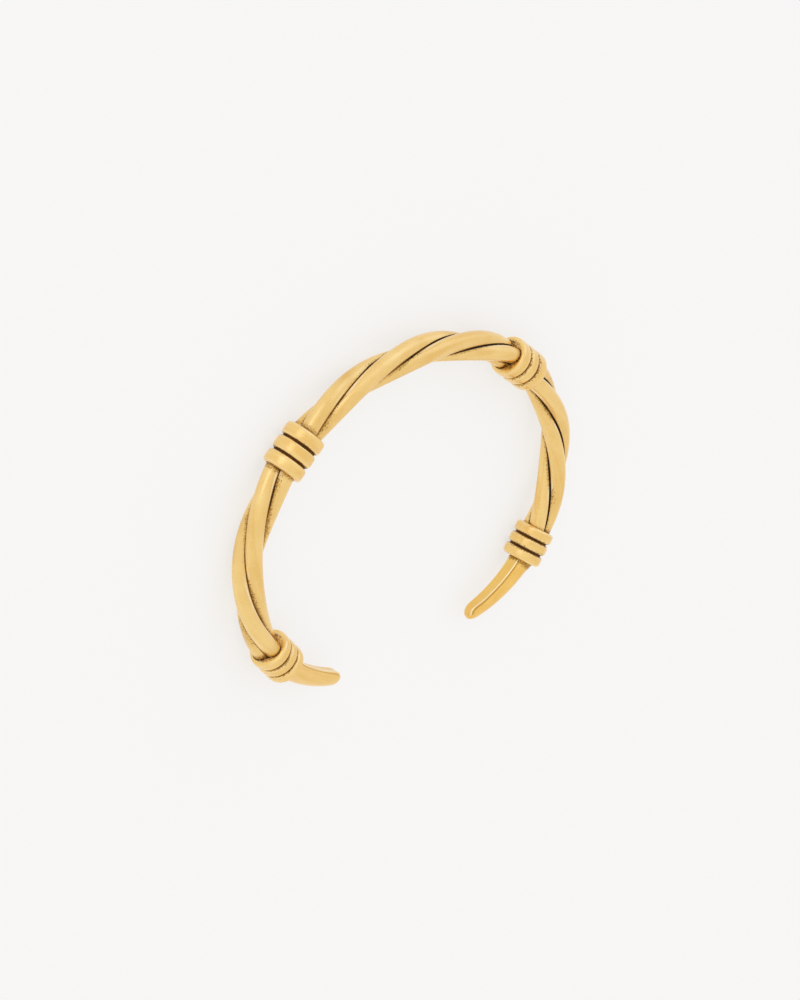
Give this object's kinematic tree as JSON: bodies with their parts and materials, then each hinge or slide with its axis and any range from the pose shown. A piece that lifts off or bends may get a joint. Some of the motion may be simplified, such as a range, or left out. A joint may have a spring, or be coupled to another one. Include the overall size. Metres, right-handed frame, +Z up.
{
  "type": "twisted cuff bracelet",
  "caption": "Open cuff bracelet of round brass strands twisted together, held by ringed bindings, with plain tapered ends.",
  "frame": {"origin": "on the surface the cuff lies on, under the middle of its outline", "axes": "+Z up along the wrist, +X from end_left to end_right, +Y to the back of the cuff, away from the open front"},
  "size_m": [0.0716, 0.0574, 0.0068],
  "materials": {
    "strands": "satin gold-tone brass, dark brown patina in the valleys",
    "bindings": "satin gold-tone brass, dark brown patina in the grooves",
    "ends": "gold-tone brass, polished smoother than the rest"
  },
  "bodies": {
    "root": {"strand_1": "strands", "strand_2": "strands", "strand_3": "strands", "binding_back_left": "bindings", "binding_back_right": "bindings", "binding_front_left": "bindings", "binding_front_right": "bindings", "end_left": "ends", "end_right": "ends"}
  },
  "joints": []
}
